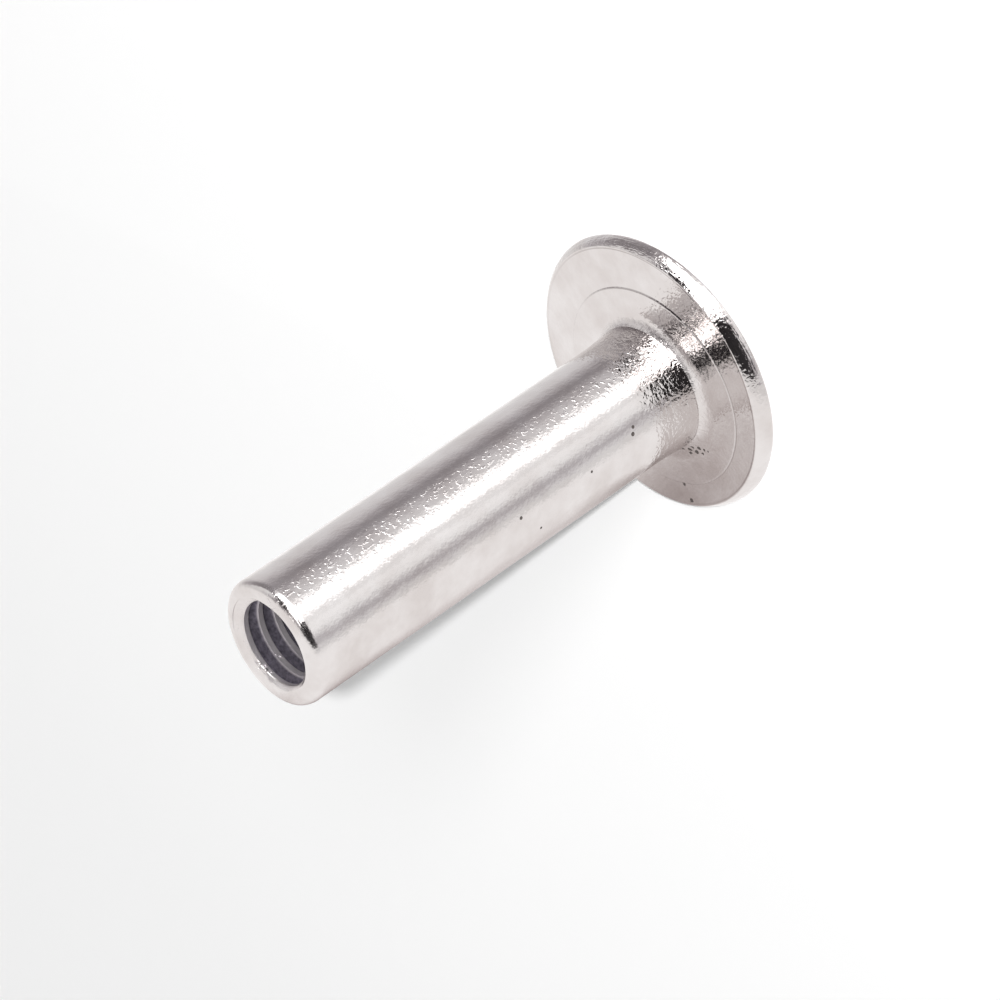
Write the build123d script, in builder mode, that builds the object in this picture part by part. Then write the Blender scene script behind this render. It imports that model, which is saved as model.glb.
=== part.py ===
from build123d import *
from math import radians, tan
import os

# Tubular rivet with a blind threaded bore: cold headed in one piece from steel wire, drilled,
# tapped and nickel plated. It stands on its flat head. The origin is the centre of the head's flat
# face, and +Z runs along the shank to the open end. Sizes are in millimetres.

# Shank and its open end
overall_length = 20.4
shank_diameter = 5.0
tip_round = 0.5

# Bore, at the thread's minor diameter
bore_diameter = 3.3
mouth_chamfer = 0.2
solid_end = 4.4
drill_point_angle = 118.0

# Head: a thin disc, struck a little off the shank's axis. Its edge leans in and bulges a little,
# up to the rim, which is a thin lip that stands above the underside.
head_diameter = 11.46
head_offset = 0.3
back_round = 0.12
rim_height = 0.64
rim_lean = 0.27
rim_bulge = 0.07
rim_round = 0.04
lip_width = 0.1
lip_step = 0.02

# Seat: the raised ring round the neck, and the drop from it to the rest of the head's underside
seat_height = 0.73
seat_width = 0.975
seat_step = 0.06
seat_chamfer = 0.04

# Neck: the shank swells a little, then a fillet turns out into the seat
neck_swell = 0.1
neck_length = 1.2
neck_fillet_reach = 0.55
neck_fillet_rise = 0.23

shank_radius = shank_diameter / 2
head_radius = head_diameter / 2
bore_radius = bore_diameter / 2
mouth_radius = bore_radius + mouth_chamfer
neck_radius = shank_radius + neck_swell
fillet_radius = neck_radius + neck_fillet_reach
seat_radius = fillet_radius + seat_width
rim_radius = head_radius - rim_lean
lip_radius = rim_radius - lip_width

lip_foot = rim_height - lip_step
step_height = seat_height - seat_step
neck_height = seat_height + neck_fillet_rise
shank_height = neck_height + neck_length
drill_point_height = solid_end - bore_radius / tan(radians(drill_point_angle / 2))

# The underside's slope carries on under the seat as far as the head's offset uncovers it
underside_slope = (step_height - lip_foot) / (lip_radius - seat_radius)
hidden_radius = seat_radius - head_offset
hidden_height = step_height + underside_slope * head_offset

shank_plane = Plane(origin=(-head_offset, 0, 0), x_dir=(1, 0, 0), z_dir=(0, -1, 0))
shank_axis = Axis((-head_offset, 0, 0), (0, 0, 1))

with BuildPart() as rivet:
    # Head disc, turned about its own axis
    with BuildSketch(Plane.XZ) as head_profile:
        with BuildLine():
            Polyline(
                (rim_radius, rim_height),
                (lip_radius, lip_foot),
                (hidden_radius, hidden_height),
                (0, hidden_height),
                (0, 0),
                (head_radius, 0),
            )
            SagittaArc((head_radius, 0), (rim_radius, rim_height), sagitta=-rim_bulge)
        make_face()
        back_corner = head_profile.vertices().group_by(Axis.X)[-1].sort_by(Axis.Y)[0]
        fillet(back_corner, radius=back_round)
        rim_corner = head_profile.vertices().group_by(Axis.Y)[-1].sort_by(Axis.X)[-1]
        fillet(rim_corner, radius=rim_round)
    revolve(axis=Axis.Z)

    # Seat, neck and shank, turned about the shank's axis and rooted inside the head
    with BuildSketch(shank_plane) as shank_profile:
        with BuildLine():
            Polyline(
                (fillet_radius, seat_height),
                (seat_radius, seat_height),
                (seat_radius, lip_foot),
                (0, lip_foot),
                (0, overall_length),
                (shank_radius, overall_length),
                (shank_radius, shank_height),
                (neck_radius, neck_height),
            )
            TangentArc((fillet_radius, seat_height), (neck_radius, neck_height), tangent=(-1, 0))
        make_face()
        tip_corner = shank_profile.vertices().group_by(Axis.Y)[-1].sort_by(Axis.X)[-1]
        fillet(tip_corner, radius=tip_round)
        seat_corner = shank_profile.vertices().group_by(Axis.X)[-1].sort_by(Axis.Y)[-1]
        chamfer(seat_corner, length=seat_chamfer)
    revolve(axis=shank_axis)

    # Bore with its drill point, opened out by a chamfer at the mouth
    with BuildSketch(shank_plane) as bore_profile:
        with BuildLine():
            Polyline(
                (0, drill_point_height),
                (bore_radius, solid_end),
                (bore_radius, overall_length - mouth_chamfer),
                (mouth_radius, overall_length),
                (0, overall_length),
                close=True,
            )
        make_face()
    revolve(axis=shank_axis, mode=Mode.SUBTRACT)

rivet.part.label = "rivet"

os.makedirs("parts", exist_ok=True)
export_step(rivet.part, "parts/rivet.step")
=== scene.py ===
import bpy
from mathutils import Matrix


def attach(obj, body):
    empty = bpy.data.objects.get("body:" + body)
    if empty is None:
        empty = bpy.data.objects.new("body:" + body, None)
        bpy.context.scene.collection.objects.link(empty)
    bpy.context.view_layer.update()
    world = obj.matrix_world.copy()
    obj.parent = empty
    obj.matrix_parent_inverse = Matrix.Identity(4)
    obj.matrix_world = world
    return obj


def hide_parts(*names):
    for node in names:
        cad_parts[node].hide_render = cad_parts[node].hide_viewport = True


bl_info = {
    "name": "Tubular rivet",
    "version": (1, 0, 0),
    "blender": (4, 5, 0),
    "location": "View3D > Sidebar > Rivet",
    "description": "Models a threaded tubular rivet standing on its head, with its studio",
    "category": "Mesh",
}

from math import atan2, cos, pi, radians, sin, tan, tau

import bmesh
import bpy
from bpy.props import FloatProperty, IntProperty, PointerProperty, StringProperty
from bpy.types import Operator, Panel, PropertyGroup
from mathutils import Matrix, Vector

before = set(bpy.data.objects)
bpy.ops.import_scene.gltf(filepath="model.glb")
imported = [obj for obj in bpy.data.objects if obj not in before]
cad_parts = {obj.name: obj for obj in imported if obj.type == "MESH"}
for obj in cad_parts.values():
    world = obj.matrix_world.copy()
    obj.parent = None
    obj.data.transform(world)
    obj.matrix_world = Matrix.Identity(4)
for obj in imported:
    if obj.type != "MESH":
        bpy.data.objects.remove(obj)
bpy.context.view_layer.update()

MM = 0.001

# Steps round a turned form, and round each turn of the thread
TURN_STEPS = 256
THREAD_STEPS = 48
# Points this near are one
MERGED = 0.0001 * MM

FLANK_ANGLE = radians(30)
DRILL_POINT_ANGLE = radians(118)

# The head's edge stands upright at its foot, before it bulges and leans in
EDGE_FOOT = 0.16 * MM
# The domed open end: how far its shoulder stands in from the side and below the crest, and how far
# its inner edge falls from the crest
SHOULDER_INSET = 0.14 * MM
SHOULDER_DROP = 0.07 * MM
MOUTH_DROP = 0.03 * MM
# The cut end leans within this length of the crest
LEANING_LENGTH = 1 * MM

# Radii of the rounds between one form and the next
FINE_ROUND = 0.04 * MM
LIP_ROUND = 0.05 * MM
CREST_ROUND = 0.09 * MM
NECK_ROUND = 0.12 * MM
TIP_ROUND = 0.13 * MM
BULGE_ROUND = 0.16 * MM
SWELL_ROUND = 0.45 * MM

# How far in from the open end the bright nickel reaches: on the crests, in depths of the mouth's
# chamfer, and elsewhere, along the thread's run-out. A face this near the bore's wall is on a crest.
PLATED_CHAMFERS = 1.2
PLATED_RUN_OUT = 0.44 * MM
CREST_REACH = 0.04 * MM


# Colours and nodes

def linear(hex_colour):
    """Turns an sRGB hex colour into the linear RGBA that the shader sockets take."""
    channels = [int(hex_colour[i:i + 2], 16) / 255 for i in (1, 3, 5)]
    return [c / 12.92 if c <= 0.04045 else ((c + 0.055) / 1.055) ** 2.4 for c in channels] + [1.0]


def add_node(tree, kind, inputs=None, stops=(), **settings):
    """Adds a node, sets its properties and a ramp's stops, and sets or links its inputs."""
    node = tree.nodes.new(kind)
    for name, value in settings.items():
        setattr(node, name, value)
    for number, (place, colour) in enumerate(stops):
        ramp = node.color_ramp.elements
        element = ramp[number] if number < 2 else ramp.new(place)
        element.position = place
        element.color = colour
    for key, value in (inputs or {}).items():
        if isinstance(value, bpy.types.NodeSocket):
            tree.links.new(value, node.inputs[key])
        else:
            node.inputs[key].default_value = value
    return node


# Sizes

class RivetSizes(PropertyGroup):
    """Sizes of the head, the seat, the neck and the shank."""

    overall_length: FloatProperty(
        name="Overall length", description="From the head's flat face to the open end",
        default=20.4 * MM, unit="LENGTH", precision=5)
    shank_radius: FloatProperty(
        name="Shank radius", description="Radius of the plain shank",
        default=2.5 * MM, unit="LENGTH", precision=5)
    tip_drop: FloatProperty(
        name="Tip drop", description="How far the domed open end falls to the shank's side",
        default=0.3 * MM, unit="LENGTH", precision=5)
    tip_crest: FloatProperty(
        name="Tip crest", description="Radius at which the domed open end is highest",
        default=2.08 * MM, unit="LENGTH", precision=5)
    tip_lean: FloatProperty(
        name="Tip lean", description="How far the cut end leans off square",
        default=radians(2.5), subtype="ANGLE")
    head_radius: FloatProperty(
        name="Head radius", description="Radius of the thin head",
        default=5.72 * MM, unit="LENGTH", precision=5)
    head_offset: FloatProperty(
        name="Head offset", description="How far the head's centre stands off the shank's axis",
        default=0.3 * MM, unit="LENGTH", precision=5)
    back_round: FloatProperty(
        name="Back round", description="Radius of the round at the foot of the edge",
        default=0.12 * MM, unit="LENGTH", precision=5)
    rim_height: FloatProperty(
        name="Rim height", description="Height of the lip round the head",
        default=0.64 * MM, unit="LENGTH", precision=5)
    rim_lean: FloatProperty(
        name="Rim lean", description="How far the edge leans in at the lip",
        default=0.26 * MM, unit="LENGTH", precision=5)
    rim_bulge: FloatProperty(
        name="Rim bulge", description="How far the edge bulges past the line from foot to lip",
        default=0.06 * MM, unit="LENGTH", precision=5)
    rim_wedge: FloatProperty(
        name="Rim wedge", description="How much higher the struck rim is at its thick side",
        default=0.12 * MM, unit="LENGTH", precision=5)
    rim_wedge_angle: FloatProperty(
        name="Rim wedge angle", description="Where round the head its thick side is",
        default=radians(215), subtype="ANGLE")
    lip_width: FloatProperty(
        name="Lip width", description="Width of the lip on the underside",
        default=0.1 * MM, unit="LENGTH", precision=5)
    lip_step: FloatProperty(
        name="Lip step", description="How far the lip stands above the underside",
        default=0.02 * MM, unit="LENGTH", precision=5)
    seat_height: FloatProperty(
        name="Seat height", description="Height of the flat ring round the neck",
        default=0.73 * MM, unit="LENGTH", precision=5)
    seat_radius: FloatProperty(
        name="Seat radius", description="Outer radius of the flat ring round the neck",
        default=4.125 * MM, unit="LENGTH", precision=5)
    seat_step: FloatProperty(
        name="Seat step", description="Drop from the ring to the underside",
        default=0.06 * MM, unit="LENGTH", precision=5)
    seat_slope: FloatProperty(
        name="Seat slope", description="How far the drop runs outwards",
        default=0.07 * MM, unit="LENGTH", precision=5)
    seat_shift: FloatProperty(
        name="Seat shift", description="How far the ring's edge is struck off the shank's axis",
        default=0.08 * MM, unit="LENGTH", precision=5)
    neck_radius: FloatProperty(
        name="Neck radius", description="Radius of the shank where it meets the neck fillet",
        default=2.6 * MM, unit="LENGTH", precision=5)
    neck_length: FloatProperty(
        name="Neck length", description="Length over which the shank swells",
        default=1.2 * MM, unit="LENGTH", precision=5)
    fillet_reach: FloatProperty(
        name="Fillet reach", description="How far the neck fillet reaches outwards",
        default=0.55 * MM, unit="LENGTH", precision=5)
    fillet_rise: FloatProperty(
        name="Fillet rise", description="How far the neck fillet rises up the shank",
        default=0.23 * MM, unit="LENGTH", precision=5)


class ThreadSizes(PropertyGroup):
    """Sizes of the blind bore and its metric thread."""

    bore_radius: FloatProperty(
        name="Bore radius", description="Radius at the thread's crests",
        default=1.65 * MM, unit="LENGTH", precision=5)
    root_radius: FloatProperty(
        name="Root radius", description="Radius at the thread's roots",
        default=2.0 * MM, unit="LENGTH", precision=5)
    pitch: FloatProperty(
        name="Pitch", description="Thread pitch",
        default=0.7 * MM, unit="LENGTH", precision=5)
    mouth_chamfer: FloatProperty(
        name="Mouth chamfer", description="Width of the chamfer at the mouth",
        default=0.18 * MM, unit="LENGTH", precision=5)
    mouth_depth: FloatProperty(
        name="Mouth depth", description="Depth of the chamfer at the mouth",
        default=0.18 * MM, unit="LENGTH", precision=5)
    solid_end: FloatProperty(
        name="Solid end", description="Height at which the bore's straight wall starts",
        default=4.4 * MM, unit="LENGTH", precision=5)
    turns: IntProperty(
        name="Turns", description="Number of turns that the tap cuts", default=20)
    end_height: FloatProperty(
        name="End height", description="Height at which the tap's last turn ends, past the mouth",
        default=20.8 * MM, unit="LENGTH", precision=5)
    end_angle: FloatProperty(
        name="End angle", description="Angle at which the tap's last turn ends",
        default=radians(270), subtype="ANGLE")


class StudioSettings(PropertyGroup):
    """The camera's place and the studio's light."""

    tilt: FloatProperty(
        name="Tilt", description="Angle between the shank's axis and the line of sight",
        default=radians(58.14), subtype="ANGLE")
    roll: FloatProperty(
        name="Roll", description="Slope of the shank across the picture",
        default=radians(34.48), subtype="ANGLE")
    distance: FloatProperty(
        name="Distance", description="Camera's distance from the open end along the line of sight",
        default=153.5 * MM, unit="LENGTH", precision=5)
    across: FloatProperty(
        name="Across", description="Open end's place to the right of the picture's centre",
        default=-8.09 * MM, unit="LENGTH", precision=5)
    upward: FloatProperty(
        name="Upward", description="Open end's place above the picture's centre",
        default=-5.17 * MM, unit="LENGTH", precision=5)
    lens: FloatProperty(
        name="Lens", description="Focal length on a 36 mm sensor, in millimetres",
        default=157.46)
    floor_colour: StringProperty(
        name="Floor colour", description="Colour of the studio floor", default="#F7F7F7")
    floor_fill: FloatProperty(
        name="Floor fill", description="White that the camera sees on the floor besides its light",
        default=0.12)
    far_fill: FloatProperty(
        name="Far fill", description="The same, far from the rivet, where the lamps light it less",
        default=0.72)
    room_level: FloatProperty(
        name="Room level", description="Level of the room's light on plain surfaces", default=0.3)
    key_power: FloatProperty(
        name="Key power", description="Power of the small lamp", default=2.5, unit="POWER")
    key_size: FloatProperty(
        name="Key size", description="Width of the small lamp", default=10 * MM, unit="LENGTH")
    side_power: FloatProperty(
        name="Side power", description="Power of the broad lamp", default=0.7, unit="POWER")
    side_size: FloatProperty(
        name="Side size", description="Width of the broad lamp", default=120 * MM, unit="LENGTH")
    lamp_distance: FloatProperty(
        name="Lamp distance", description="Distance of both lamps from the shank",
        default=500 * MM, unit="LENGTH")


# Blemishes, each a ball: its angle round the shank in degrees, and its distance from the axis,
# height and radius in millimetres. Pits are struck into the metal, and burrs stand on the first
# thread crests.
PITS = (
    (249.6, 2.57, 4.07, 0.1), (244.3, 2.57, 4.19, 0.11), (239.1, 2.57, 10.15, 0.1),
    (237.0, 2.57, 6.5, 0.09), (217.3, 2.57, 9.29, 0.09), (151.6, 4.3, 0.75, 0.1),
    (153.1, 4.98, 0.72, 0.1), (171, 2.66, 0.93, 0.06), (176, 2.8, 0.84, 0.08),
    (181, 2.78, 0.85, 0.05), (185, 2.95, 0.78, 0.08), (188, 3.12, 0.76, 0.05),
    (173, 2.94, 0.78, 0.05), (179.5, 3.02, 0.77, 0.09), (184, 3.2, 0.76, 0.06),
    (190, 3.28, 0.76, 0.05))
BURRS = (
    (100, 1.72, 20.2, 0.09), (106, 1.68, 20.1, 0.08), (111, 1.7, 20.22, 0.1), (117, 1.71, 20.12, 0.08),
    (123, 1.72, 20.2, 0.07), (107, 1.68, 19.4, 0.08), (102, 1.68, 19.5, 0.06))


# Mesh helpers

def turned(points, centre_x):
    """Turns a closed profile into a solid about a vertical axis. A point is its offset from that
    axis and its height, and at a rounded corner also the round's radius and segments."""
    bm = bmesh.new()
    corners = [bm.verts.new((x, 0, z)) for x, z, *_ in points]
    bm.faces.new(corners)
    for corner, (_, _, *rounding) in zip(corners, points):
        if rounding:
            radius, segments = rounding
            bmesh.ops.bevel(
                bm, geom=[corner], offset=radius, offset_type="OFFSET", segments=segments,
                profile=0.5, affect="VERTICES", material=-1)
    bmesh.ops.delete(bm, geom=bm.faces[:], context="FACES_ONLY")
    on_axis = [e for e in bm.edges if all(abs(v.co.x) < MERGED for v in e.verts)]
    bmesh.ops.delete(bm, geom=on_axis, context="EDGES")
    bmesh.ops.spin(
        bm, geom=bm.verts[:] + bm.edges[:], cent=(0, 0, 0), axis=(0, 0, 1), dvec=(0, 0, 0),
        angle=tau, steps=TURN_STEPS, use_merge=True, use_normal_flip=False, use_duplicate=False)
    bmesh.ops.remove_doubles(bm, verts=bm.verts, dist=MERGED)
    bmesh.ops.recalc_face_normals(bm, faces=bm.faces)
    bmesh.ops.translate(bm, verts=bm.verts, vec=(centre_x, 0, 0))
    return bm


def tap(cut, centre_x):
    """Makes the helical tooth that cuts the thread, passing out through the mouth."""
    half_flat = cut.pitch / 16
    # The tooth is rooted inside the bore, clear of its wall
    inner = cut.bore_radius - 0.1 * MM
    half_foot = half_flat + (cut.root_radius - inner) * tan(FLANK_ANGLE)
    bm = bmesh.new()
    corners = [bm.verts.new(co) for co in (
        (inner, 0, -half_foot), (cut.root_radius, 0, -half_flat),
        (cut.root_radius, 0, half_flat), (inner, 0, half_foot))]
    bm.faces.new(corners)
    bmesh.ops.translate(bm, verts=bm.verts, vec=(0, 0, cut.end_height - cut.turns * cut.pitch))
    bmesh.ops.spin(
        bm, geom=bm.verts[:] + bm.edges[:] + bm.faces[:], cent=(0, 0, 0), axis=(0, 0, 1),
        dvec=(0, 0, cut.pitch / THREAD_STEPS), angle=tau * cut.turns, steps=THREAD_STEPS * cut.turns,
        use_merge=False, use_normal_flip=False, use_duplicate=False)
    bmesh.ops.recalc_face_normals(bm, faces=bm.faces)
    bmesh.ops.rotate(
        bm, verts=bm.verts, cent=(0, 0, 0), matrix=Matrix.Rotation(cut.end_angle, 3, "Z"))
    bmesh.ops.translate(bm, verts=bm.verts, vec=(centre_x, 0, 0))
    return as_object(bm, "tap")


def ball_centre(degrees, offset, height, centre_x):
    """Gives the centre of a pit or burr, in metres."""
    across = Vector((cos(radians(degrees)), sin(radians(degrees)), 0)) * offset * MM
    return across + Vector((centre_x, 0, height * MM))


def balls(places, centre_x, name):
    """Makes the small balls that mark the metal or stand on it."""
    bm = bmesh.new()
    for degrees, offset, height, radius in places:
        centre = ball_centre(degrees, offset, height, centre_x)
        bmesh.ops.create_icosphere(
            bm, subdivisions=3, radius=radius * MM, matrix=Matrix.Translation(centre))
    return as_object(bm, name)


def clamped(part):
    """Keeps a share between none and all."""
    return min(max(part, 0), 1)


def as_object(bm, name):
    """Turns a bmesh into an object at the origin."""
    mesh = bpy.data.meshes.new(name)
    bm.to_mesh(mesh)
    bm.free()
    piece = bpy.data.objects.new(name, mesh)
    bpy.context.scene.collection.objects.link(piece)
    return piece


def combine(piece, tool, operation):
    """Joins a tool solid to a piece, or cuts it out of the piece, and removes the tool."""
    modifier = piece.modifiers.new("combine", "BOOLEAN")
    modifier.operation = operation
    modifier.solver = "EXACT"
    modifier.object = tool
    depsgraph = bpy.context.evaluated_depsgraph_get()
    joined = bpy.data.meshes.new_from_object(piece.evaluated_get(depsgraph))
    piece.modifiers.clear()
    old = piece.data
    name = old.name
    piece.data = joined
    bpy.data.meshes.remove(old)
    joined.name = name
    bpy.data.meshes.remove(tool.data)


def shade(piece, sharp_angle):
    """Shades a piece smooth, apart from edges sharper than the angle."""
    bm = bmesh.new()
    bm.from_mesh(piece.data)
    for face in bm.faces:
        face.smooth = True
    for edge in bm.edges:
        edge.smooth = edge.calc_face_angle(0) < sharp_angle
    bm.to_mesh(piece.data)
    bm.free()


# Studio

# The studio as the metal sees it: levels at angles round the shank from its near side, low down,
# where the shank looks, and higher up, where the head and the rim look
LOW_LEVELS = (
    (-180, 0.75), (-140, 0.95), (-103, 1.1), (-70, 1.08), (-50, 0.9), (-43, 0.76), (-36, 0.57),
    (-28, 0.8), (-20, 1.08), (-7, 1.2), (0, 1.05), (7, 1.2), (11, 1.75), (33, 1.75), (37, 1.05),
    (43, 0.84), (50, 0.85), (57, 0.72), (65, 0.6), (74, 0.42), (83, 0.35), (92, 0.47), (103, 0.65),
    (115, 0.82), (140, 0.87), (152, 0.9), (180, 1.0))
MID_LEVELS = (
    (-180, 1.1), (-90, 1.15), (-60, 1.1), (-48, 0.85), (-43, 0.15), (-36, 0.04), (2, 0.04),
    (6, 0.4), (9, 5.0), (60, 5.0), (66, 0.7), (74, 0.3), (95, 0.3), (115, 0.4),
    (130, 0.6), (150, 0.95), (180, 1.15))
HIGH_LEVELS = (
    (-180, 1.15), (-90, 1.15), (-60, 1.1), (-50, 0.85), (-44, 0.1), (-36, 0.03), (8, 0.03),
    (13, 0.4), (16, 5.0), (39, 5.0), (43, 0.06), (67, 0.04), (73, 0.8),
    (95, 1.0), (110, 0.95), (130, 0.9), (150, 1.0), (180, 1.15))
# Overhead, levels at the sine of the angle from the plane of a long lamp that passes over the rivet
TOP_LEVELS = (
    (-1, 1.0), (-0.6, 0.9), (-0.5, 0.1), (-0.3, 0.04), (-0.17, 0.1), (-0.12, 5.0), (0.22, 5.0),
    (0.28, 0.3), (0.5, 0.4), (0.8, 0.9), (1, 1.0))
# How far that lamp's plane is turned about Z from the YZ plane
LAMP_TURN = radians(20)
# A dark gap across that lamp just before the zenith, by how far the direction points to the far side
GAP_LEVELS = ((-0.65, 1.0), (-0.5, 0.12), (-0.12, 0.12), (0.02, 1.0))
# A ramp holds colours up to 1, so the levels are divided by this in it and multiplied after it
LEVEL_SCALE = 6
# The direction's heights, from -1 below to 1 overhead, over which low levels give way to middle
# ones, those to high ones, and those to the lamp overhead
LEVEL_BANDS = ((-0.25, 0.0), (0.3, 0.45), (0.62, 0.8))

# The way that the sheet under the shank's low side faces
SHEET_LEAN = (0.718, -0.677, -0.160)
# The lamps stand beside the line of sight, in these shares to the picture's left and up, and each
# is aside by this part of its distance
ASIDE_LEFT = 0.55
ASIDE_UP = 0.83
KEY_ASIDE = 0.022
SIDE_ASIDE = 0.15


def white_paper(studio):
    """White paper, pressed from pulp: matt all over, so it shows soft shadows and no gloss. Only the
    camera sees the plain white that is added to it, more of it far from the lamps."""
    material = bpy.data.materials.new("white_paper")
    material.use_nodes = True
    tree = material.node_tree
    shader = tree.nodes["Principled BSDF"]
    shader.inputs["Base Color"].default_value = linear(studio.floor_colour)
    shader.inputs["Roughness"].default_value = 0.9
    shader.inputs["Emission Color"].default_value = (1, 1, 1, 1)
    rays = add_node(tree, "ShaderNodeLightPath")
    place = add_node(tree, "ShaderNodeTexCoord")
    away = add_node(tree, "ShaderNodeVectorMath", {0: place.outputs["Object"]}, operation="LENGTH")
    needed = add_node(
        tree, "ShaderNodeMapRange",
        {"Value": away.outputs["Value"], "From Min": 60 * MM, "From Max": 700 * MM,
         "To Min": studio.floor_fill, "To Max": studio.far_fill})
    fill = add_node(
        tree, "ShaderNodeMath", {0: rays.outputs["Is Camera Ray"], 1: needed.outputs[0]},
        operation="MULTIPLY")
    tree.links.new(fill.outputs[0], shader.inputs["Emission Strength"])
    return material


def reflected_sheet():
    """White paper as the metal reflects it: a glowing sheet, brighter near the rivet, with painted
    shade where the rivet covers it from the light.
    """
    material = bpy.data.materials.new("reflected_white_paper")
    material.use_nodes = True
    tree = material.node_tree
    tree.nodes.clear()
    open_sky = add_node(
        tree, "ShaderNodeAmbientOcclusion", {"Distance": 12 * MM}, samples=8)
    openness = add_node(
        tree, "ShaderNodeMapRange",
        {"Value": open_sky.outputs["AO"], "From Min": 0.05, "From Max": 0.57})
    colour = add_node(
        tree, "ShaderNodeValToRGB", {"Fac": openness.outputs[0]},
        stops=[(0.0, (0.1, 0.08, 0.08, 1)), (0.5, (0.4, 0.35, 0.34, 1)),
               (0.75, (0.72, 0.67, 0.66, 1)), (1.0, (0.94, 0.93, 0.925, 1))])
    place = add_node(tree, "ShaderNodeTexCoord")
    away = add_node(
        tree, "ShaderNodeVectorMath", {0: place.outputs["Object"], 1: (0, 0, 10 * MM)},
        operation="DISTANCE")
    falloff = add_node(
        tree, "ShaderNodeMapRange",
        {"Value": away.outputs["Value"], "From Min": 20 * MM, "From Max": 60 * MM,
         "To Min": 1.2, "To Max": 0.96}, interpolation_type="SMOOTHSTEP")
    glow = add_node(
        tree, "ShaderNodeEmission", {"Color": colour.outputs["Color"], "Strength": falloff.outputs[0]})
    add_node(tree, "ShaderNodeOutputMaterial", {"Surface": glow.outputs[0]})
    return material


def studio_world(studio):
    """A white room. Only reflections see its lamps and its dark corners."""
    world = bpy.data.worlds.new("studio")
    world.use_nodes = True
    tree = world.node_tree
    tree.nodes.clear()
    rays = add_node(tree, "ShaderNodeLightPath")
    direction = add_node(tree, "ShaderNodeTexCoord")
    axes = add_node(tree, "ShaderNodeSeparateXYZ", {0: direction.outputs["Generated"]})
    nearness = add_node(tree, "ShaderNodeMath", {0: axes.outputs["Y"], 1: -1.0}, operation="MULTIPLY")
    angle = add_node(
        tree, "ShaderNodeMath", {0: axes.outputs["X"], 1: nearness.outputs[0]}, operation="ARCTAN2")
    turn = add_node(
        tree, "ShaderNodeMapRange", {"Value": angle.outputs[0], "From Min": -pi, "From Max": pi})
    off_lamp = add_node(
        tree, "ShaderNodeVectorMath",
        {0: direction.outputs["Generated"], 1: (cos(LAMP_TURN), sin(LAMP_TURN), 0)},
        operation="DOT_PRODUCT")
    over = add_node(
        tree, "ShaderNodeMapRange",
        {"Value": off_lamp.outputs["Value"], "From Min": -1.0, "From Max": 1.0})
    far = add_node(
        tree, "ShaderNodeMapRange", {"Value": axes.outputs["Y"], "From Min": -1.0, "From Max": 1.0})
    ramps = []
    for place, end, scale, levels in (
            (turn, 180, LEVEL_SCALE, LOW_LEVELS), (turn, 180, LEVEL_SCALE, MID_LEVELS),
            (turn, 180, LEVEL_SCALE, HIGH_LEVELS), (over, 1, LEVEL_SCALE, TOP_LEVELS),
            (far, 1, 1, GAP_LEVELS)):
        ramps.append(add_node(
            tree, "ShaderNodeValToRGB", {"Fac": place.outputs[0]},
            stops=[((x / end + 1) / 2, (*[level / scale] * 3, 1)) for x, level in levels]))
    low, mid, high, lamp, gap = ramps
    top = add_node(
        tree, "ShaderNodeMath", {0: lamp.outputs["Color"], 1: gap.outputs["Color"]},
        operation="MULTIPLY")
    above_low, above_mid, above_high = [add_node(
        tree, "ShaderNodeMapRange", {"Value": axes.outputs["Z"], "From Min": start, "From Max": end},
        interpolation_type="SMOOTHSTEP",
    ) for start, end in LEVEL_BANDS]
    lower = add_node(
        tree, "ShaderNodeMix",
        {0: above_low.outputs[0], 2: low.outputs["Color"], 3: mid.outputs["Color"]})
    upper = add_node(
        tree, "ShaderNodeMix",
        {0: above_mid.outputs[0], 2: lower.outputs[0], 3: high.outputs["Color"]})
    scaled = add_node(
        tree, "ShaderNodeMix", {0: above_high.outputs[0], 2: upper.outputs[0], 3: top.outputs[0]})
    reflected = add_node(
        tree, "ShaderNodeMath", {0: scaled.outputs[0], 1: LEVEL_SCALE}, operation="MULTIPLY")
    level = add_node(
        tree, "ShaderNodeMix",
        {0: rays.outputs["Is Glossy Ray"], 2: studio.room_level, 3: reflected.outputs[0]})
    seen = add_node(
        tree, "ShaderNodeMix", {0: rays.outputs["Is Camera Ray"], 2: level.outputs[0], 3: 1.0})
    # The metal's darker reflections have a faint lilac cast
    cast = add_node(
        tree, "ShaderNodeValToRGB", {"Fac": reflected.outputs[0]},
        stops=[(0.3, (1.0, 0.935, 0.98, 1)), (1.0, (1, 1, 1, 1))])
    tinted = add_node(
        tree, "ShaderNodeMix",
        {0: rays.outputs["Is Glossy Ray"], 6: (1, 1, 1, 1), 7: cast.outputs["Color"]}, data_type="RGBA")
    background = add_node(
        tree, "ShaderNodeBackground", {"Color": tinted.outputs[2], "Strength": seen.outputs[0]})
    add_node(tree, "ShaderNodeOutputWorld", {"Surface": background.outputs[0]})
    return world


# Materials

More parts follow.
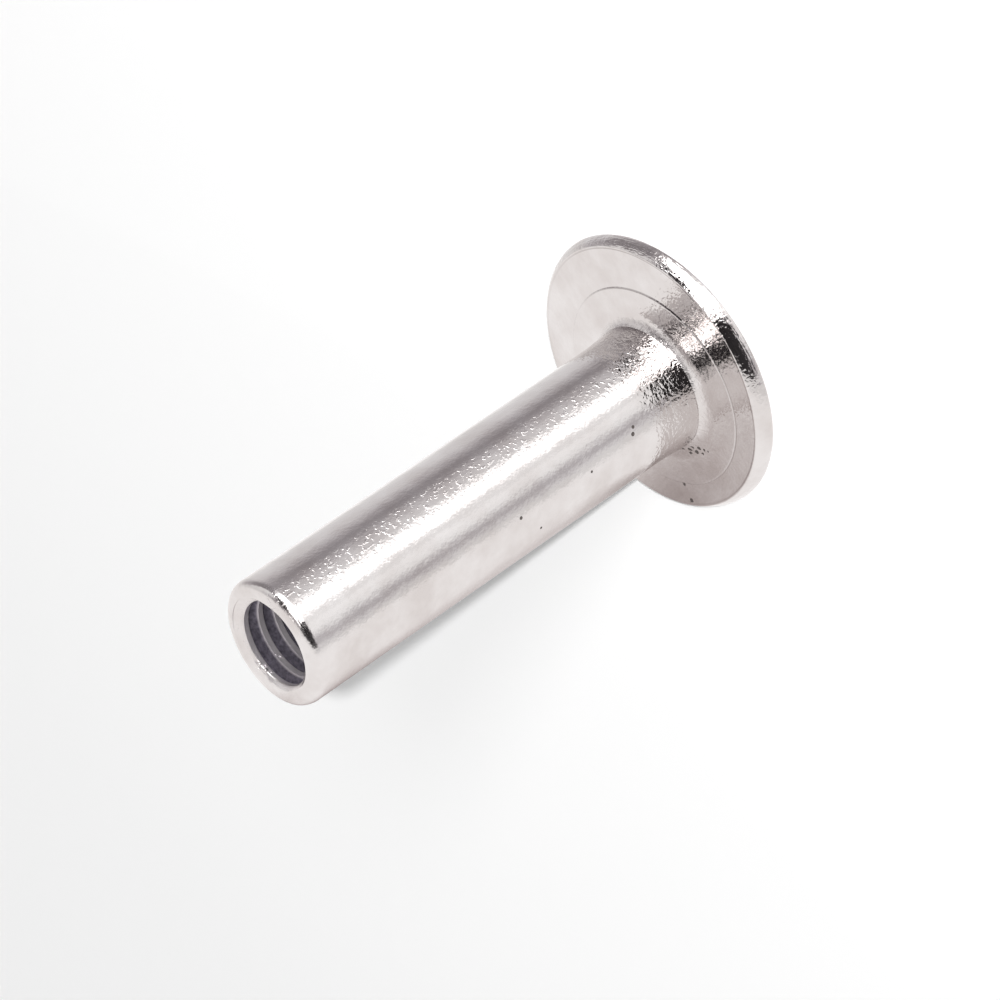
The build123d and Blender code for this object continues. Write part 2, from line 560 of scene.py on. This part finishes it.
def nickel_plate(size):
    """Bright nickel, plated on cold headed steel: a mirror with a faint warm tint. The plating
    leaves a fine orange peel and specks, and the die leaves wrinkles on the neck and streaks round
    the rim."""
    material = bpy.data.materials.new("bright_nickel_plate")
    material.use_nodes = True
    tree = material.node_tree
    shader = tree.nodes["Principled BSDF"]
    shader.inputs["Metallic"].default_value = 1.0
    place = add_node(tree, "ShaderNodeTexCoord")
    axes = add_node(tree, "ShaderNodeSeparateXYZ", {0: place.outputs["Object"]})

    # Colour: thin stains, one or two millimetres wide
    stains = add_node(
        tree, "ShaderNodeTexNoise",
        {"Vector": place.outputs["Object"], "Scale": 1 / (1.6 * MM), "Detail": 3.0, "Roughness": 0.6})
    tint = add_node(
        tree, "ShaderNodeValToRGB", {"Fac": stains.outputs["Fac"]},
        stops=[(0.35, linear("#DCD8D7")), (0.7, linear("#CFC9C7"))])

    # Painted shade: a dark line painted into the colour in the step round the seat and along the rim's
    # lip, fainter on the far side
    flat = add_node(
        tree, "ShaderNodeCombineXYZ", {0: axes.outputs["X"], 1: axes.outputs["Y"]})
    radius = add_node(tree, "ShaderNodeVectorMath", {0: flat.outputs[0]}, operation="LENGTH")
    seat_centre = (-size.head_offset - size.seat_shift, 0, 0)
    from_seat = add_node(
        tree, "ShaderNodeVectorMath", {0: flat.outputs[0], 1: seat_centre}, operation="DISTANCE")
    near_side = add_node(
        tree, "ShaderNodeMapRange",
        {"Value": axes.outputs["Y"], "From Min": 1.5 * MM, "From Max": -2.5 * MM,
         "To Min": 0.08, "To Max": 0.5}, interpolation_type="SMOOTHSTEP")
    seat_line = size.seat_radius + size.seat_slope / 2
    lip_line = size.head_radius - size.rim_lean - 0.07 * MM
    unshaded = near_side
    for distance, line in ((from_seat, seat_line), (radius, lip_line)):
        off_line = add_node(
            tree, "ShaderNodeMath", {0: distance.outputs["Value"], 1: line}, operation="SUBTRACT")
        beside_line = add_node(
            tree, "ShaderNodeMath", {0: off_line.outputs[0]}, operation="ABSOLUTE")
        past_line = add_node(
            tree, "ShaderNodeMapRange",
            {"Value": beside_line.outputs[0], "From Min": 0.01 * MM, "From Max": 0.05 * MM},
            interpolation_type="SMOOTHSTEP")
        unshaded = add_node(
            tree, "ShaderNodeMath", {0: unshaded.outputs[0], 1: past_line.outputs[0]},
            operation="MULTIPLY")
    # Painted shade: the near side's weight where it lies on the step or the lip line
    painted_shade = add_node(
        tree, "ShaderNodeMath", {0: near_side.outputs[0], 1: unshaded.outputs[0]},
        operation="SUBTRACT")
    with_painted_shade = add_node(
        tree, "ShaderNodeMix",
        {0: painted_shade.outputs[0], 6: tint.outputs["Color"], 7: linear("#8A817E")}, data_type="RGBA")
    tree.links.new(with_painted_shade.outputs[2], shader.inputs["Base Color"])

    # Roughness: the mirror clouds a little in patches under a millimetre wide, more so away from the
    # head, and it dulls at the open end, in the mouth and on the neck fillet, where the forming die
    # left a rough skin
    below_neck = add_node(
        tree, "ShaderNodeMapRange",
        {"Value": axes.outputs["Z"], "From Min": 0.93 * MM, "From Max": 1.02 * MM,
         "To Min": 1.0, "To Max": 0.0}, interpolation_type="SMOOTHSTEP")
    above_seat = add_node(
        tree, "ShaderNodeMapRange",
        {"Value": axes.outputs["Z"], "From Min": 0.77 * MM, "From Max": 0.82 * MM},
        interpolation_type="SMOOTHSTEP")
    skin = add_node(
        tree, "ShaderNodeMath", {0: below_neck.outputs[0], 1: above_seat.outputs[0]},
        operation="MULTIPLY")
    clouds = add_node(
        tree, "ShaderNodeTexNoise",
        {"Vector": place.outputs["Object"], "Scale": 1 / (0.7 * MM), "Detail": 4.0, "Roughness": 0.65})
    clouded = add_node(
        tree, "ShaderNodeMapRange",
        {"Value": axes.outputs["Z"], "From Min": 3.0 * MM, "From Max": 6.0 * MM,
         "To Min": 0.08, "To Max": 0.15}, interpolation_type="SMOOTHSTEP")
    gloss = add_node(
        tree, "ShaderNodeMapRange",
        {"Value": clouds.outputs["Fac"], "From Min": 0.3, "From Max": 0.7, "To Min": 0.05,
         "To Max": clouded.outputs[0]})
    dulled = add_node(
        tree, "ShaderNodeMapRange",
        {"Value": axes.outputs["Z"], "From Min": 17.5 * MM, "From Max": 20 * MM,
         "To Min": 0.0, "To Max": 0.07}, interpolation_type="SMOOTHSTEP")
    from_shank = add_node(
        tree, "ShaderNodeVectorMath", {0: flat.outputs[0], 1: (-size.head_offset, 0, 0)},
        operation="DISTANCE")
    in_mouth = add_node(
        tree, "ShaderNodeMapRange",
        {"Value": from_shank.outputs["Value"], "From Min": 1.66 * MM, "From Max": 1.8 * MM,
         "To Min": 1.2, "To Max": 0.0}, interpolation_type="SMOOTHSTEP")
    rough = add_node(
        tree, "ShaderNodeMath", {0: skin.outputs[0], 1: in_mouth.outputs[0]}, operation="ADD")
    duller = add_node(
        tree, "ShaderNodeMath", {0: rough.outputs[0], 1: 0.2, 2: dulled.outputs[0]},
        operation="MULTIPLY_ADD")
    roughness = add_node(
        tree, "ShaderNodeMath", {0: duller.outputs[0], 1: gloss.outputs[0]}, operation="ADD")
    tree.links.new(roughness.outputs[0], shader.inputs["Roughness"])

    # Relief, as heights in metres: an orange peel and wrinkles about 0.14 mm wide, a slow swell of
    # the drawn wire, specks in a band along one side of the shank, and streaks drawn out round the
    # rim, deepest where it is crimped
    peel = add_node(
        tree, "ShaderNodeTexNoise",
        {"Vector": place.outputs["Object"], "Scale": 1 / (0.14 * MM), "Detail": 1.0})
    swell = add_node(
        tree, "ShaderNodeTexNoise",
        {"Vector": place.outputs["Object"], "Scale": 1 / (0.9 * MM), "Detail": 1.0})
    wrinkles = add_node(
        tree, "ShaderNodeTexNoise",
        {"Vector": place.outputs["Object"], "Scale": 1 / (0.14 * MM), "Detail": 1.0, "Distortion": 0.8})
    specks = add_node(
        tree, "ShaderNodeTexNoise",
        {"Vector": place.outputs["Object"], "Scale": 1 / (0.15 * MM), "Detail": 2.0, "Roughness": 0.5})
    speck = add_node(
        tree, "ShaderNodeMapRange",
        {"Value": specks.outputs["Fac"], "From Min": 0.53, "From Max": 0.72},
        interpolation_type="SMOOTHSTEP")
    off_band = add_node(
        tree, "ShaderNodeMath", {0: axes.outputs["X"], 1: 0.75 * MM}, operation="SUBTRACT")
    beside = add_node(tree, "ShaderNodeMath", {0: off_band.outputs[0]}, operation="ABSOLUTE")
    specked = add_node(
        tree, "ShaderNodeMapRange",
        {"Value": beside.outputs[0], "From Min": 0.3 * MM, "From Max": 0.65 * MM,
         "To Min": 0.011 * MM, "To Max": 0.0}, interpolation_type="SMOOTHSTEP")
    on_neck = add_node(
        tree, "ShaderNodeMapRange",
        {"Value": axes.outputs["Z"], "From Min": 1.6 * MM, "From Max": 4.2 * MM,
         "To Min": 0.021 * MM, "To Max": 0.0}, interpolation_type="SMOOTHSTEP")
    off_head = add_node(
        tree, "ShaderNodeMapRange",
        {"Value": axes.outputs["Z"], "From Min": 0.75 * MM, "From Max": 1.0 * MM,
         "To Min": 0.4, "To Max": 1.0}, interpolation_type="SMOOTHSTEP")
    wrinkled = add_node(
        tree, "ShaderNodeMath", {0: on_neck.outputs[0], 1: off_head.outputs[0]},
        operation="MULTIPLY")
    near_y = add_node(
        tree, "ShaderNodeMath", {0: axes.outputs["Y"], 1: -1.0}, operation="MULTIPLY")
    angle = add_node(
        tree, "ShaderNodeMath", {0: axes.outputs["X"], 1: near_y.outputs[0]}, operation="ARCTAN2")
    # Round the rim the pattern is drawn out about six times
    along = add_node(
        tree, "ShaderNodeMath", {0: angle.outputs[0], 1: size.head_radius * 0.16},
        operation="MULTIPLY")
    round_rim = add_node(
        tree, "ShaderNodeCombineXYZ",
        {0: radius.outputs["Value"], 1: axes.outputs["Z"], 2: along.outputs[0]})
    streaks = add_node(
        tree, "ShaderNodeTexNoise",
        {"Vector": round_rim.outputs[0], "Scale": 1 / (0.12 * MM), "Detail": 2.0, "Roughness": 0.6})
    on_rim = add_node(
        tree, "ShaderNodeMapRange",
        {"Value": radius.outputs["Value"], "From Min": size.head_radius - 0.6 * MM,
         "From Max": size.head_radius - 0.3 * MM, "To Min": 0.0, "To Max": 0.03 * MM},
        interpolation_type="SMOOTHSTEP")
    crimped = add_node(
        tree, "ShaderNodeMapRange",
        {"Value": axes.outputs["X"], "From Min": -0.4 * MM, "From Max": 0.8 * MM,
         "To Min": 0.45, "To Max": 1.0}, interpolation_type="SMOOTHSTEP")
    streaked = add_node(
        tree, "ShaderNodeMath", {0: on_rim.outputs[0], 1: crimped.outputs[0]}, operation="MULTIPLY")
    height = add_node(
        tree, "ShaderNodeMath", {0: peel.outputs["Fac"], 1: 0.007 * MM}, operation="MULTIPLY")
    for pattern, depth in (
            (swell.outputs["Fac"], 0.02 * MM),
            (wrinkles.outputs["Fac"], wrinkled.outputs[0]),
            (speck.outputs[0], specked.outputs[0]),
            (streaks.outputs["Fac"], streaked.outputs[0])):
        height = add_node(
            tree, "ShaderNodeMath", {0: pattern, 1: depth, 2: height.outputs[0]},
            operation="MULTIPLY_ADD")
    relief = add_node(tree, "ShaderNodeBump", {"Height": height.outputs[0], "Distance": 1.0})
    tree.links.new(relief.outputs["Normal"], shader.inputs["Normal"])
    return material


def tapped_bore(size, cut):
    """Nickel inside a tapped hole, where the plating runs thin: dull and bluish grey, torn on the
    thread's flanks, with a painted highlight on its crests."""
    material = bpy.data.materials.new("tapped_bore_nickel")
    material.use_nodes = True
    tree = material.node_tree
    shader = tree.nodes["Principled BSDF"]
    shader.inputs["Metallic"].default_value = 0.75
    place = add_node(tree, "ShaderNodeTexCoord")
    tears = add_node(
        tree, "ShaderNodeTexNoise",
        {"Vector": place.outputs["Object"], "Scale": 1 / (0.15 * MM), "Detail": 3.0, "Roughness": 0.6})
    tint = add_node(
        tree, "ShaderNodeValToRGB", {"Fac": tears.outputs["Fac"]},
        stops=[(0.3, linear("#5C5864")), (0.7, linear("#8A8490"))])
    axes = add_node(tree, "ShaderNodeSeparateXYZ", {0: place.outputs["Object"]})
    flat = add_node(
        tree, "ShaderNodeCombineXYZ", {0: axes.outputs["X"], 1: axes.outputs["Y"]})
    radius = add_node(
        tree, "ShaderNodeVectorMath", {0: flat.outputs[0], 1: (-size.head_offset, 0, 0)},
        operation="DISTANCE")
    # Painted highlight: the thread's crests are painted a lighter colour
    crest = add_node(
        tree, "ShaderNodeMapRange",
        {"Value": radius.outputs["Value"], "From Min": cut.bore_radius + 0.01 * MM,
         "From Max": cut.bore_radius + 0.1 * MM, "To Min": 1.0, "To Max": 0.0},
        interpolation_type="SMOOTHSTEP")
    painted_crest_highlight = add_node(
        tree, "ShaderNodeMix",
        {0: crest.outputs[0], 6: tint.outputs["Color"], 7: linear("#C4BEC2")}, data_type="RGBA")
    tree.links.new(painted_crest_highlight.outputs[2], shader.inputs["Base Color"])
    gloss = add_node(
        tree, "ShaderNodeMapRange",
        {"Value": tears.outputs["Fac"], "From Min": 0.3, "From Max": 0.7, "To Min": 0.3, "To Max": 0.5})
    tree.links.new(gloss.outputs[0], shader.inputs["Roughness"])
    relief = add_node(
        tree, "ShaderNodeBump", {"Height": tears.outputs["Fac"], "Distance": 0.01 * MM})
    tree.links.new(relief.outputs["Normal"], shader.inputs["Normal"])
    return material


def dark_pit():
    """Dull and almost black, in the pits struck into the metal."""
    material = bpy.data.materials.new("dark_pit")
    material.use_nodes = True
    shader = material.node_tree.nodes["Principled BSDF"]
    shader.inputs["Base Color"].default_value = linear("#4A4442")
    shader.inputs["Roughness"].default_value = 0.7
    return material


# Operators

class RIVET_OT_rivet(Operator):
    """Models the rivet's head, seat, neck and shank, and cuts its threaded bore"""

    bl_idname = "rivet.rivet"
    bl_label = "Rivet"

    def execute(self, context):
        size = context.scene.rivet_sizes
        cut = context.scene.rivet_thread
        rim_radius = size.head_radius - size.rim_lean
        lip_radius = rim_radius - size.lip_width
        lip_foot = size.rim_height - size.lip_step
        step_height = size.seat_height - size.seat_step
        slope = (step_height - lip_foot) / (lip_radius - size.seat_radius)
        hidden_radius = size.seat_radius - size.head_offset
        hidden_height = step_height + slope * size.head_offset
        bulge_radius = size.head_radius - size.rim_lean / 2 + size.rim_bulge
        disc = turned((
            (0, 0),
            (size.head_radius, 0, size.back_round, 6),
            (size.head_radius, EDGE_FOOT, FINE_ROUND, 4),
            (bulge_radius, (size.rim_height + EDGE_FOOT) / 2, BULGE_ROUND, 10),
            (rim_radius, size.rim_height, FINE_ROUND, 4),
            (lip_radius, lip_foot, LIP_ROUND, 3),
            (hidden_radius, hidden_height),
            (0, hidden_height),
        ), 0)
        # The head is struck a little thicker on one side
        for vert in disc.verts:
            outwards = clamped((vert.co.xy.length - hidden_radius) / (rim_radius - hidden_radius))
            upwards = clamped(vert.co.z / lip_foot)
            side = cos(atan2(vert.co.y, vert.co.x) - size.rim_wedge_angle)
            vert.co.z += size.rim_wedge * side * outwards * upwards
        head = as_object(disc, "rivet_body")

        neck_height = size.seat_height + size.fillet_rise
        shank_height = neck_height + size.neck_length
        # The neck fillet is an arc, flat at the seat and steepest at the neck
        fillet_bend = 2 * atan2(size.fillet_rise, size.fillet_reach)
        fillet_corner = size.neck_radius + size.fillet_rise / tan(fillet_bend)
        fillet_length = size.fillet_rise / sin(fillet_bend)
        mouth = cut.bore_radius + cut.mouth_chamfer
        drill_point = cut.solid_end - cut.bore_radius / tan(DRILL_POINT_ANGLE / 2)
        seat_foot = size.seat_radius + size.seat_slope * (size.seat_height - lip_foot) / size.seat_step
        tip = size.overall_length
        stem = turned((
            (0, lip_foot),
            (seat_foot, lip_foot),
            (size.seat_radius, size.seat_height, FINE_ROUND, 4),
            (fillet_corner, size.seat_height, fillet_length, 12),
            (size.neck_radius, neck_height, NECK_ROUND, 6),
            (size.shank_radius, shank_height, SWELL_ROUND, 12),
            (size.shank_radius, tip - size.tip_drop, TIP_ROUND, 8),
            (size.shank_radius - SHOULDER_INSET, tip - SHOULDER_DROP, TIP_ROUND, 8),
            (size.tip_crest, tip, CREST_ROUND, 6),
            (mouth, tip - MOUTH_DROP, LIP_ROUND, 4),
            (cut.bore_radius, tip - cut.mouth_depth, LIP_ROUND, 4),
            (cut.bore_radius, cut.solid_end),
            (0, drill_point),
        ), -size.head_offset)
        # The seat's edge is struck to one side, and the open end's cut leans
        for vert in stem.verts:
            if vert.co.z < neck_height:
                outwards = (vert.co.xy.length - fillet_corner) / (size.seat_radius - fillet_corner)
                vert.co.x -= size.seat_shift * clamped(outwards)
            at_tip = clamped(1 - (tip - vert.co.z) / LEANING_LENGTH)
            vert.co.z -= (vert.co.x + size.head_offset) * tan(size.tip_lean) * at_tip
        combine(head, as_object(stem, "shank"), "UNION")
        combine(head, tap(cut, -size.head_offset), "DIFFERENCE")
        combine(head, balls(PITS, -size.head_offset, "pits"), "DIFFERENCE")
        combine(head, balls(BURRS, -size.head_offset, "burrs"), "UNION")
        shade(head, radians(30))

        head.data.materials.clear()
        head.data.materials.append(nickel_plate(size))
        head.data.materials.append(tapped_bore(size, cut))
        head.data.materials.append(dark_pit())
        pits = [(ball_centre(*place, -size.head_offset), radius * MM) for *place, radius in PITS]
        for face in head.data.polygons:
            offset = (face.center.xy - Vector((-size.head_offset, 0))).length
            inside = offset < cut.root_radius and face.center.z > drill_point
            on_crest = offset < cut.bore_radius + CREST_REACH
            plated = PLATED_CHAMFERS * cut.mouth_depth if on_crest else PLATED_RUN_OUT
            if inside and face.center.z < tip - plated:
                face.material_index = 1
            # A ball's faces lie just inside its radius
            elif any((face.center - centre).length < 1.01 * radius for centre, radius in pits):
                face.material_index = 2
            else:
                face.material_index = 0
        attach(head, "root")
        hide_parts("rivet")
        return {"FINISHED"}


class RIVET_OT_studio(Operator):
    """Sets the pale floor, the soft light and the camera"""

    bl_idname = "rivet.studio"
    bl_label = "Studio"

    def execute(self, context):
        studio = context.scene.rivet_studio
        size = context.scene.rivet_sizes
        context.scene.view_settings.view_transform = "Standard"

        # Camera, placed from the middle of the open end
        sin_tilt = sin(studio.tilt)
        cos_tilt = cos(studio.tilt)
        sin_roll = sin(studio.roll)
        cos_roll = cos(studio.roll)
        right = Vector((-sin_roll, -cos_roll * cos_tilt, -cos_roll * sin_tilt))
        up = Vector((cos_roll, -sin_roll * cos_tilt, -sin_roll * sin_tilt))
        back = right.cross(up)
        tip = Vector((-size.head_offset, 0, size.overall_length + 0.02 * MM))
        place = tip - right * studio.across - up * studio.upward + back * studio.distance
        data = bpy.data.cameras.new("camera")
        data.lens = studio.lens
        data.sensor_width = 36
        data.clip_start = 1 * MM
        data.clip_end = 10
        camera = bpy.data.objects.new("camera", data)
        context.scene.collection.objects.link(camera)
        turn = Matrix((right, up, back)).transposed().to_4x4()
        camera.matrix_world = Matrix.Translation(place) @ turn
        context.scene.camera = camera

        # Floor, which the metal reflects as the sheet below
        bm = bmesh.new()
        bmesh.ops.create_grid(bm, x_segments=1, y_segments=1, size=1.0)
        floor = as_object(bm, "floor")
        floor.data.materials.append(white_paper(studio))
        floor.visible_glossy = False
        floor.visible_shadow = False

        # A sheet that only the metal's reflections see, which touches the open end's low side
        lean = Vector(SHEET_LEAN).normalized()
        touch = Vector((-size.head_offset, 0, size.overall_length)) - lean * size.shank_radius
        bm = bmesh.new()
        bmesh.ops.create_grid(bm, x_segments=1, y_segments=1, size=1.0)
        bmesh.ops.rotate(
            bm, verts=bm.verts, cent=(0, 0, 0), matrix=lean.to_track_quat("Z", "Y").to_matrix())
        bmesh.ops.translate(bm, verts=bm.verts, vec=touch)
        sheet = as_object(bm, "reflected_sheet")
        sheet.data.materials.append(reflected_sheet())
        sheet.visible_camera = False
        sheet.visible_diffuse = False
        sheet.visible_shadow = False

        context.scene.world = studio_world(studio)

        # Two soft lamps: a small one close to the line of sight, so that a narrow shadow edges the
        # shank's low side, and a broad one off to the side, which softens the shadow near the head
        aim = Vector((0, 0, 8 * MM))
        for name, width, power, aside in (
                ("key", studio.key_size, studio.key_power, KEY_ASIDE),
                ("side", studio.side_size, studio.side_power, SIDE_ASIDE)):
            lamp = bpy.data.lights.new(name, "AREA")
            lamp.shape = "DISK"
            lamp.size = width
            lamp.energy = power
            light = bpy.data.objects.new(name, lamp)
            context.scene.collection.objects.link(light)
            towards = (back - right * ASIDE_LEFT * aside + up * ASIDE_UP * aside).normalized()
            light.location = aim + towards * studio.lamp_distance
            light.rotation_euler = towards.to_track_quat("Z", "Y").to_euler()
            light.visible_glossy = False
        return {"FINISHED"}


class RIVET_PT_panel(Panel):
    """Lists the rivet's sizes and its operators"""

    bl_idname = "RIVET_PT_panel"
    bl_label = "Tubular rivet"
    bl_space_type = "VIEW_3D"
    bl_region_type = "UI"
    bl_category = "Rivet"

    def draw(self, context):
        layout = self.layout
        for operator, settings in (
                (RIVET_OT_rivet, (context.scene.rivet_sizes, context.scene.rivet_thread)),
                (RIVET_OT_studio, (context.scene.rivet_studio,))):
            box = layout.box()
            for group in settings:
                for name in group.__annotations__:
                    box.prop(group, name)
            box.operator(operator.bl_idname)


CLASSES = (RivetSizes, ThreadSizes, StudioSettings, RIVET_OT_rivet, RIVET_OT_studio, RIVET_PT_panel)


def register():
    for cls in CLASSES:
        bpy.utils.register_class(cls)
    bpy.types.Scene.rivet_sizes = PointerProperty(type=RivetSizes)
    bpy.types.Scene.rivet_thread = PointerProperty(type=ThreadSizes)
    bpy.types.Scene.rivet_studio = PointerProperty(type=StudioSettings)


def unregister():
    del bpy.types.Scene.rivet_studio
    del bpy.types.Scene.rivet_thread
    del bpy.types.Scene.rivet_sizes
    for cls in reversed(CLASSES):
        bpy.utils.unregister_class(cls)


def main():
    register()
    bpy.ops.rivet.rivet()
    bpy.ops.rivet.studio()
    bpy.context.view_layer.update()


if __name__ == "__main__":
    main()
